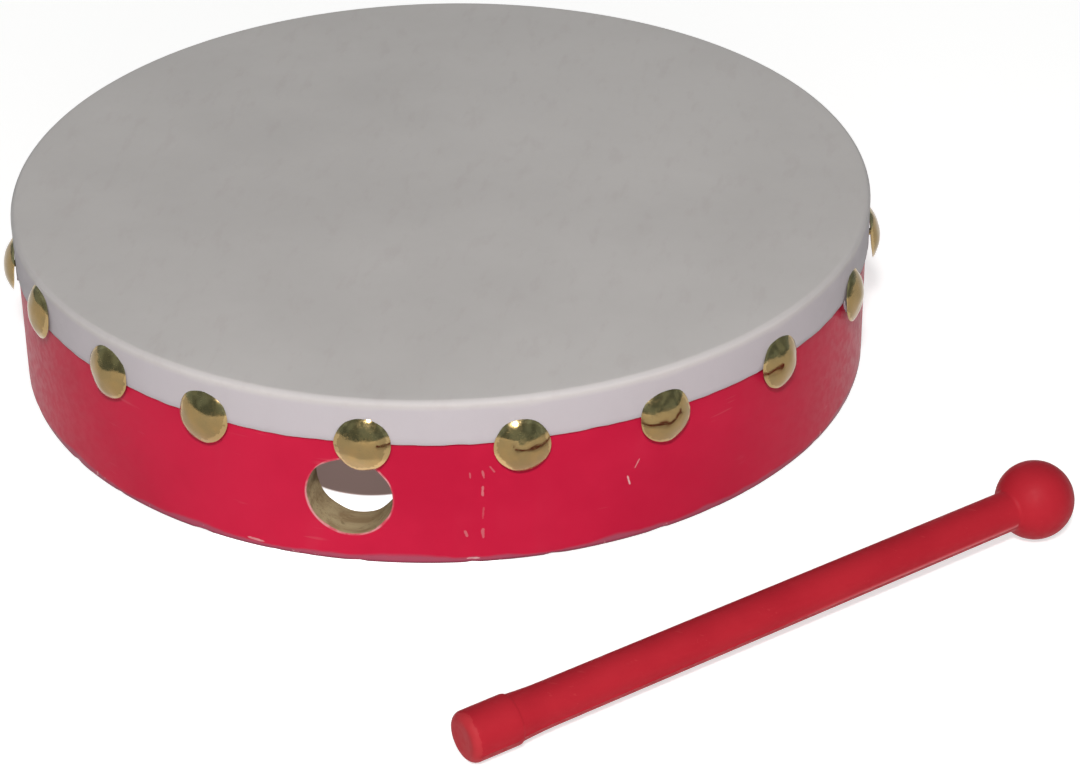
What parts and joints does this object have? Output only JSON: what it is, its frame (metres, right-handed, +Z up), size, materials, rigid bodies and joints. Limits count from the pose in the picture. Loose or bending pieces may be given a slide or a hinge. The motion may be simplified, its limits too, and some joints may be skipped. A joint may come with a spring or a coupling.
{
  "type": "hand drum",
  "caption": "Shallow round hand drum: an open-backed lacquered wooden hoop with a thumb hole, a skin head tacked over its top edge, and a ball-ended beater lying beside it.",
  "frame": {"origin": "bottom centre of the box round the drum and its beater, on the table they stand on", "axes": "+Z up along the drum's axis towards the playing face; -Y the way the thumb hole faces; +X to its right"},
  "size_m": [0.2552, 0.2708, 0.0412],
  "materials": {
    "lacquered_wood": "crimson gloss lacquer outside, bare wood inside and in the thumb hole",
    "skin": "smooth matt whitened skin",
    "brass": "polished, slightly tarnished",
    "red_plastic": "satin moulded red"
  },
  "bodies": {
    "drum": {"hoop": "lacquered_wood", "skin_head": "skin", "tack_01": "brass", "tack_02": "brass", "tack_03": "brass", "tack_04": "brass", "tack_05": "brass", "tack_06": "brass", "tack_07": "brass", "tack_08": "brass", "tack_09": "brass", "tack_10": "brass", "tack_11": "brass", "tack_12": "brass", "tack_13": "brass", "tack_14": "brass", "tack_15": "brass", "tack_16": "brass", "tack_17": "brass", "tack_18": "brass", "tack_19": "brass", "tack_20": "brass"},
    "beater": {"beater_stick": "red_plastic", "beater_ball": "red_plastic", "beater_end_cap": "red_plastic"}
  },
  "joints": [
    {"name": "beater_lift", "type": "slide", "parent": "drum", "child": "beater", "axis": [0, 0, 1], "range_m": [0, 0.15]}
  ]
}
